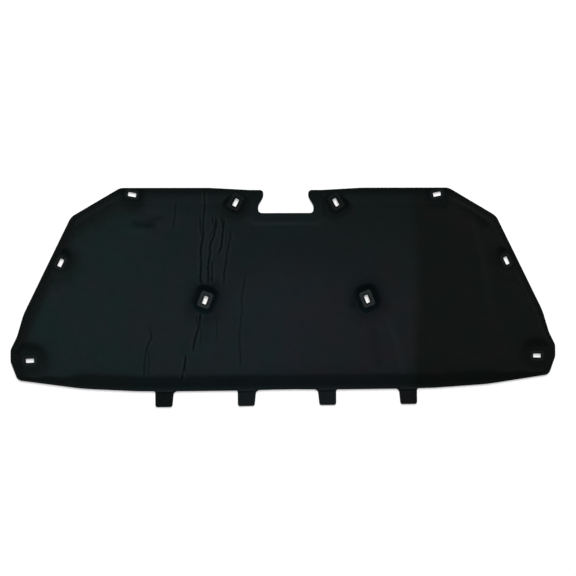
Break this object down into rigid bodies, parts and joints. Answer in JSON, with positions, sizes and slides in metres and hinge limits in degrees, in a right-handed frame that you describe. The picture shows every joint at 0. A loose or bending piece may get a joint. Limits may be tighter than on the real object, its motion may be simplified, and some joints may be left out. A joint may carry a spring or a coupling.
{
  "type": "hood insulation pad",
  "caption": "Moulded felt pad for the underside of a car hood, with a notched edge, tucking tabs and pressed seats for retainer clips.",
  "frame": {"origin": "centre of the pad's outline, tabs included, on the plane of its flat back", "axes": "+X across the car, along the pad's long side; +Y from the tab edge to the notched edge; +Z out of the lofted face that looks at the engine"},
  "size_m": [1.36, 0.5436, 0.016],
  "materials": {
    "felt": "matt non-woven facing on pressed felt"
  },
  "bodies": {
    "root": {"insulation_pad": "felt"}
  },
  "joints": []
}
